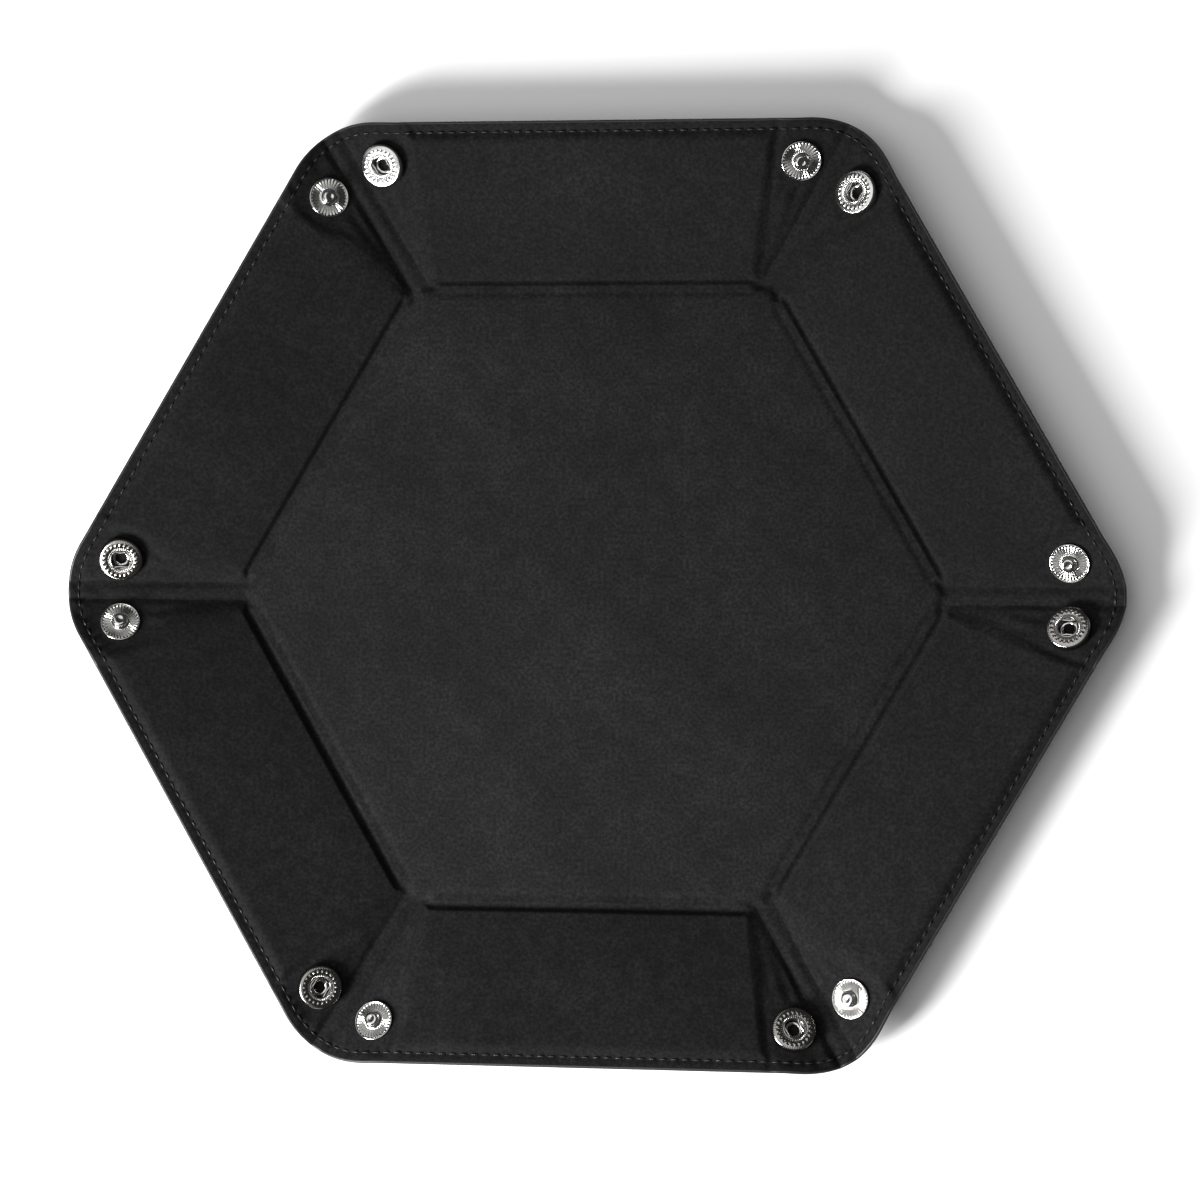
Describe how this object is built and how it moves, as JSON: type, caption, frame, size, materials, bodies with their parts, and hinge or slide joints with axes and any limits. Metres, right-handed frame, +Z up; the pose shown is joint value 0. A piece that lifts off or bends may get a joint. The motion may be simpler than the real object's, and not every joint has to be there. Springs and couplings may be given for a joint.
{
  "type": "folding dice tray",
  "caption": "Hexagonal soft folding dice tray: stiffened base and walls in a leather-look cover with suede lining, corners pinched and held by snaps.",
  "frame": {"origin": "centre of the base's underside, on the table", "axes": "+Z up, +X through a corner where two walls meet, +Y square to a wall's fold line"},
  "size_m": [0.289, 0.2564, 0.0147],
  "materials": {
    "cover": "fine grained black leather-look sheet, satin",
    "board": "grey pressed fibre board",
    "lining": "black short-pile suede cloth",
    "nickel": "bright nickel plate"
  },
  "bodies": {
    "base": {"base_cover": "cover", "base_board": "board", "base_lining": "lining"},
    "wall_1": {"wall_1_cover": "cover", "wall_1_board": "board", "wall_1_lining": "lining"},
    "stud_flap_1": {"wall_1_stud_flap": "lining", "wall_1_snap_stud": "nickel"},
    "socket_flap_1": {"wall_1_socket_flap": "lining", "wall_1_snap_cap": "nickel", "wall_1_snap_socket": "nickel"},
    "crease_1": {"corner_1_crease": "lining"},
    "wall_2": {"wall_2_cover": "cover", "wall_2_board": "board", "wall_2_lining": "lining"},
    "stud_flap_2": {"wall_2_stud_flap": "lining", "wall_2_snap_stud": "nickel"},
    "socket_flap_2": {"wall_2_socket_flap": "lining", "wall_2_snap_cap": "nickel", "wall_2_snap_socket": "nickel"},
    "crease_2": {"corner_2_crease": "lining"},
    "wall_3": {"wall_3_cover": "cover", "wall_3_board": "board", "wall_3_lining": "lining"},
    "stud_flap_3": {"wall_3_stud_flap": "lining", "wall_3_snap_stud": "nickel"},
    "socket_flap_3": {"wall_3_socket_flap": "lining", "wall_3_snap_cap": "nickel", "wall_3_snap_socket": "nickel"},
    "crease_3": {"corner_3_crease": "lining"},
    "wall_4": {"wall_4_cover": "cover", "wall_4_board": "board", "wall_4_lining": "lining"},
    "stud_flap_4": {"wall_4_stud_flap": "lining", "wall_4_snap_stud": "nickel"},
    "socket_flap_4": {"wall_4_socket_flap": "lining", "wall_4_snap_cap": "nickel", "wall_4_snap_socket": "nickel"},
    "crease_4": {"corner_4_crease": "lining"},
    "wall_5": {"wall_5_cover": "cover", "wall_5_board": "board", "wall_5_lining": "lining"},
    "stud_flap_5": {"wall_5_stud_flap": "lining", "wall_5_snap_stud": "nickel"},
    "socket_flap_5": {"wall_5_socket_flap": "lining", "wall_5_snap_cap": "nickel", "wall_5_snap_socket": "nickel"},
    "crease_5": {"corner_5_crease": "lining"},
    "wall_6": {"wall_6_cover": "cover", "wall_6_board": "board", "wall_6_lining": "lining"},
    "stud_flap_6": {"wall_6_stud_flap": "lining", "wall_6_snap_stud": "nickel"},
    "socket_flap_6": {"wall_6_socket_flap": "lining", "wall_6_snap_cap": "nickel", "wall_6_snap_socket": "nickel"},
    "crease_6": {"corner_6_crease": "lining"}
  },
  "joints": [
    {"name": "wall_1_fold", "type": "hinge", "parent": "base", "child": "wall_1", "pos_m": [0.07275, 0.042, 0.0008], "axis": [0.5, -0.866, 0], "range_deg": [-13, 58.91]},
    {"name": "wall_2_fold", "type": "hinge", "parent": "base", "child": "wall_2", "pos_m": [0, 0.084, 0.0008], "axis": [1, 0, 0], "range_deg": [-13.02, 58.93]},
    {"name": "wall_3_fold", "type": "hinge", "parent": "base", "child": "wall_3", "pos_m": [-0.07275, 0.042, 0.0008], "axis": [0.5, 0.866, 0], "range_deg": [-13.02, 58.93]},
    {"name": "wall_4_fold", "type": "hinge", "parent": "base", "child": "wall_4", "pos_m": [-0.07275, -0.042, 0.0008], "axis": [-0.5, 0.866, 0], "range_deg": [-13.02, 58.93]},
    {"name": "wall_5_fold", "type": "hinge", "parent": "base", "child": "wall_5", "pos_m": [0, -0.084, 0.0008], "axis": [-1, 0, 0], "range_deg": [-13.02, 58.93]},
    {"name": "wall_6_fold", "type": "hinge", "parent": "base", "child": "wall_6", "pos_m": [0.07275, -0.042, 0.0008], "axis": [-0.5, -0.866, 0], "range_deg": [-13.02, 58.93]},
    {"name": "stud_flap_1_fold", "type": "hinge", "parent": "wall_1", "child": "stud_flap_1", "pos_m": [0.09555, 0.0025, 0.0008], "axis": [0.8897, 0.353, 0.2895], "range_deg": [-10.83, 49.02]},
    {"name": "socket_flap_1_fold", "type": "hinge", "parent": "wall_1", "child": "socket_flap_1", "pos_m": [0.04994, 0.0815, 0.0008], "axis": [-0.7505, -0.594, -0.2895], "range_deg": [-10.83, 49.02]},
    {"name": "stud_flap_2_fold", "type": "hinge", "parent": "wall_2", "child": "stud_flap_2", "pos_m": [0.04561, 0.084, 0.0008], "axis": [0.1392, 0.947, 0.2895], "range_deg": [-10.83, 49.02]},
    {"name": "socket_flap_2_fold", "type": "hinge", "parent": "wall_2", "child": "socket_flap_2", "pos_m": [-0.04561, 0.084, 0.0008], "axis": [0.1392, -0.947, -0.2895], "range_deg": [-10.83, 49.02]},
    {"name": "stud_flap_3_fold", "type": "hinge", "parent": "wall_3", "child": "stud_flap_3", "pos_m": [-0.04994, 0.0815, 0.0008], "axis": [-0.7505, 0.594, 0.2895], "range_deg": [-10.83, 49.02]},
    {"name": "socket_flap_3_fold", "type": "hinge", "parent": "wall_3", "child": "socket_flap_3", "pos_m": [-0.09555, 0.0025, 0.0008], "axis": [0.8897, -0.353, -0.2895], "range_deg": [-10.83, 49.02]},
    {"name": "stud_flap_4_fold", "type": "hinge", "parent": "wall_4", "child": "stud_flap_4", "pos_m": [-0.09555, -0.0025, 0.0008], "axis": [-0.8897, -0.353, 0.2895], "range_deg": [-10.83, 49.02]},
    {"name": "socket_flap_4_fold", "type": "hinge", "parent": "wall_4", "child": "socket_flap_4", "pos_m": [-0.04994, -0.0815, 0.0008], "axis": [0.7505, 0.594, -0.2895], "range_deg": [-10.83, 49.02]},
    {"name": "stud_flap_5_fold", "type": "hinge", "parent": "wall_5", "child": "stud_flap_5", "pos_m": [-0.04561, -0.084, 0.0008], "axis": [-0.1392, -0.947, 0.2895], "range_deg": [-10.83, 49.02]},
    {"name": "socket_flap_5_fold", "type": "hinge", "parent": "wall_5", "child": "socket_flap_5", "pos_m": [0.04561, -0.084, 0.0008], "axis": [-0.1392, 0.947, -0.2895], "range_deg": [-10.83, 49.02]},
    {"name": "stud_flap_6_fold", "type": "hinge", "parent": "wall_6", "child": "stud_flap_6", "pos_m": [0.04994, -0.0815, 0.0008], "axis": [0.7505, -0.594, 0.2895], "range_deg": [-10.83, 49.02]},
    {"name": "socket_flap_6_fold", "type": "hinge", "parent": "wall_6", "child": "socket_flap_6", "pos_m": [0.09555, -0.0025, 0.0008], "axis": [-0.8897, 0.353, -0.2895], "range_deg": [-10.83, 49.02]},
    {"name": "crease_1_rise", "type": "hinge", "parent": "base", "child": "crease_1", "pos_m": [0.09555, 0, 0.0008], "axis": [0, -1, 0], "range_deg": [-9.18, 41.54]},
    {"name": "crease_2_rise", "type": "hinge", "parent": "base", "child": "crease_2", "pos_m": [0.04778, 0.08275, 0.0008], "axis": [0.866, -0.5, 0], "range_deg": [-9.18, 41.54]},
    {"name": "crease_3_rise", "type": "hinge", "parent": "base", "child": "crease_3", "pos_m": [-0.04778, 0.08275, 0.0008], "axis": [0.866, 0.5, 0], "range_deg": [-9.18, 41.54]},
    {"name": "crease_4_rise", "type": "hinge", "parent": "base", "child": "crease_4", "pos_m": [-0.09555, 0, 0.0008], "axis": [0, 1, 0], "range_deg": [-9.18, 41.54]},
    {"name": "crease_5_rise", "type": "hinge", "parent": "base", "child": "crease_5", "pos_m": [-0.04778, -0.08275, 0.0008], "axis": [-0.866, 0.5, 0], "range_deg": [-9.18, 41.54]},
    {"name": "crease_6_rise", "type": "hinge", "parent": "base", "child": "crease_6", "pos_m": [0.04778, -0.08275, 0.0008], "axis": [-0.866, -0.5, 0], "range_deg": [-9.18, 41.54]}
  ],
  "couplings": [
    {"joint": "wall_2_fold", "follows": "wall_1_fold", "ratio": 1},
    {"joint": "wall_3_fold", "follows": "wall_1_fold", "ratio": 1},
    {"joint": "wall_4_fold", "follows": "wall_1_fold", "ratio": 1},
    {"joint": "wall_5_fold", "follows": "wall_1_fold", "ratio": 1},
    {"joint": "wall_6_fold", "follows": "wall_1_fold", "ratio": 1},
    {"joint": "stud_flap_1_fold", "follows": "wall_1_fold", "ratio": 0.83183},
    {"joint": "socket_flap_1_fold", "follows": "wall_1_fold", "ratio": 0.83183},
    {"joint": "stud_flap_2_fold", "follows": "wall_1_fold", "ratio": 0.83183},
    {"joint": "socket_flap_2_fold", "follows": "wall_1_fold", "ratio": 0.83183},
    {"joint": "stud_flap_3_fold", "follows": "wall_1_fold", "ratio": 0.83183},
    {"joint": "socket_flap_3_fold", "follows": "wall_1_fold", "ratio": 0.83183},
    {"joint": "stud_flap_4_fold", "follows": "wall_1_fold", "ratio": 0.83183},
    {"joint": "socket_flap_4_fold", "follows": "wall_1_fold", "ratio": 0.83183},
    {"joint": "stud_flap_5_fold", "follows": "wall_1_fold", "ratio": 0.83183},
    {"joint": "socket_flap_5_fold", "follows": "wall_1_fold", "ratio": 0.83183},
    {"joint": "stud_flap_6_fold", "follows": "wall_1_fold", "ratio": 0.83183},
    {"joint": "socket_flap_6_fold", "follows": "wall_1_fold", "ratio": 0.83183},
    {"joint": "crease_1_rise", "follows": "wall_1_fold", "ratio": 0.70477},
    {"joint": "crease_2_rise", "follows": "wall_1_fold", "ratio": 0.70477},
    {"joint": "crease_3_rise", "follows": "wall_1_fold", "ratio": 0.70477},
    {"joint": "crease_4_rise", "follows": "wall_1_fold", "ratio": 0.70477},
    {"joint": "crease_5_rise", "follows": "wall_1_fold", "ratio": 0.70477},
    {"joint": "crease_6_rise", "follows": "wall_1_fold", "ratio": 0.70477}
  ]
}
